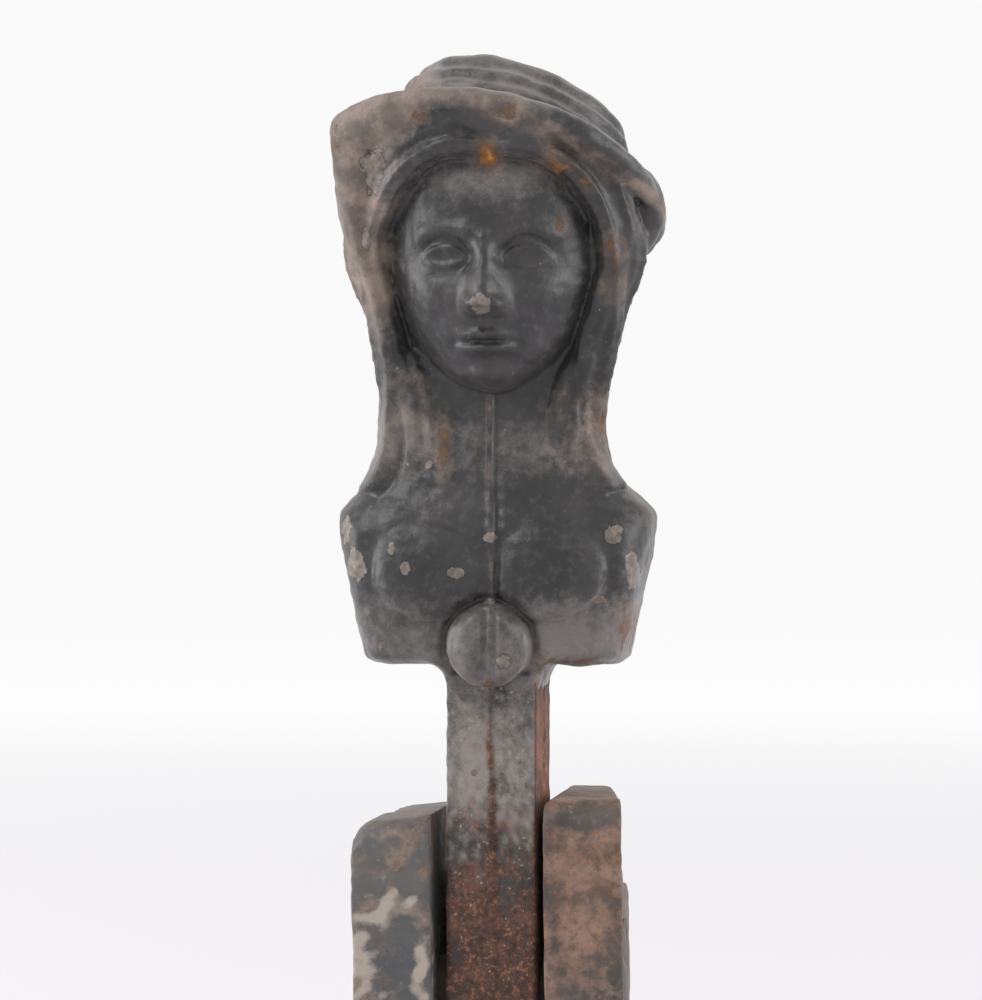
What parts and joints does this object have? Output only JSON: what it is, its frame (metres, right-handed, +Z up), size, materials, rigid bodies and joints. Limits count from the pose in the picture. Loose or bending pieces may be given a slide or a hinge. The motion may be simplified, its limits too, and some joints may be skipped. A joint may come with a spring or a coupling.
{
  "type": "shutter dog",
  "caption": "Pivoting wall shutter dog: a cast lever with a bust finial tips between two riveted cheeks on a shank set in masonry.",
  "frame": {"origin": "on the shank's axis, in the plane of the wall, where the shoulder bears and the tail begins", "axes": "+Y into the wall along the tail, +Z up, so the bust faces -Y"},
  "size_m": [0.0349, 0.1108, 0.1114],
  "materials": {
    "painted_casting": "worn satin black paint with rust and bare chips",
    "rusted_stem": "black paint above, dark rust below",
    "painted_cheek": "patchy worn paint over grey-brown iron",
    "rusted_cheek": "brown-grey rust film",
    "shank_iron": "dark rusted iron",
    "rivet_iron": "dark rusted iron, rubbed on the heads"
  },
  "bodies": {
    "fork": {"shank": "shank_iron", "left_cheek": "painted_cheek", "right_cheek": "rusted_cheek", "pivot_rivet": "rivet_iron", "stop_rivet": "rivet_iron", "fork_rivet_front": "rivet_iron", "fork_rivet_rear": "rivet_iron"},
    "lever": {"bust": "painted_casting", "lever_stem": "rusted_stem"}
  },
  "joints": [
    {"name": "lever_tip", "type": "hinge", "parent": "fork", "child": "lever", "pos_m": [0, -0.055, 0], "axis": [1, 0, 0], "range_deg": [0, 92]}
  ]
}
